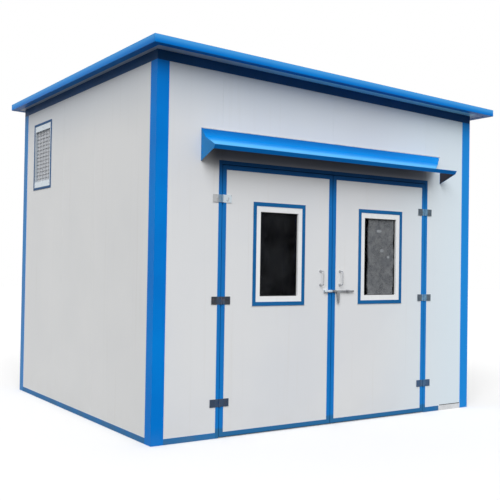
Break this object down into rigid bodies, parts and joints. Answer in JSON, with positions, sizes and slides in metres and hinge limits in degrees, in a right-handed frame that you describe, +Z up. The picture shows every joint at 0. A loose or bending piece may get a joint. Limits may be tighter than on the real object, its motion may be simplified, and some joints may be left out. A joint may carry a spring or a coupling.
{
  "type": "portable cabin",
  "caption": "Portable cabin of sandwich panels with blue steel edges, a low lean-to roof that overhangs, a glazed double door under a rain hood, and a wall vent.",
  "frame": {"origin": "middle of the rectangle that the whole cabin covers, at ground level", "axes": "+Z up, -Y out of the front wall with the double door, +X to the right when facing the door"},
  "size_m": [3.28, 3.006, 2.6815],
  "materials": {
    "blue_steel": "azure blue coat on folded steel, satin",
    "white_panel": "off-white coil coat on sandwich panels, satin",
    "window_white": "white window profile, smooth",
    "window_glass": "clear float glass",
    "galvanised": "dull zinc",
    "black_steel": "black coat, satin",
    "deck": "plywood deck, matt"
  },
  "bodies": {
    "cabin": {"floor": "deck", "threshold": "galvanised", "base_track_front_left": "blue_steel", "base_track_front_right": "blue_steel", "base_track_bare_end": "galvanised", "base_track_back": "blue_steel", "base_tracks_side": "blue_steel", "front_wall_left": "white_panel", "front_wall_right": "white_panel", "front_wall_over_door": "white_panel", "left_wall": "white_panel", "right_wall": "white_panel", "back_wall": "white_panel", "corner_posts": "blue_steel", "head_tracks_long": "blue_steel", "head_tracks_side": "blue_steel", "roof_panels": "white_panel", "roof_trims_long": "blue_steel", "roof_trims_side": "blue_steel", "door_jambs": "blue_steel", "door_head": "blue_steel", "hood_sheet": "blue_steel", "hood_ends": "blue_steel", "vent_trim": "blue_steel", "vent_frame": "window_white", "vent_grille": "galvanised", "left_hinge_plates": "black_steel", "right_hinge_plates": "galvanised"},
    "left_door": {"left_door_panel": "white_panel", "left_door_edge": "blue_steel", "left_window_trim": "blue_steel", "left_window_frame": "window_white", "left_window_glass": "window_glass", "left_pull": "galvanised", "left_hinge_leaves": "black_steel", "bolt_keeper": "galvanised"},
    "right_door": {"right_door_panel": "white_panel", "right_door_edge": "blue_steel", "right_window_trim": "blue_steel", "right_window_frame": "window_white", "right_window_glass": "window_glass", "right_pull": "galvanised", "right_hinge_leaves": "galvanised", "bolt_rod": "galvanised", "bolt_guides": "galvanised"}
  },
  "joints": [
    {"name": "left_door_swing", "type": "hinge", "parent": "cabin", "child": "left_door", "pos_m": [-1.0245, -1.326, 0.9535], "axis": [0, 0, -1], "range_deg": [0, 175]},
    {"name": "right_door_swing", "type": "hinge", "parent": "cabin", "child": "right_door", "pos_m": [0.9665, -1.326, 0.9535], "axis": [0, 0, 1], "range_deg": [0, 175]}
  ]
}
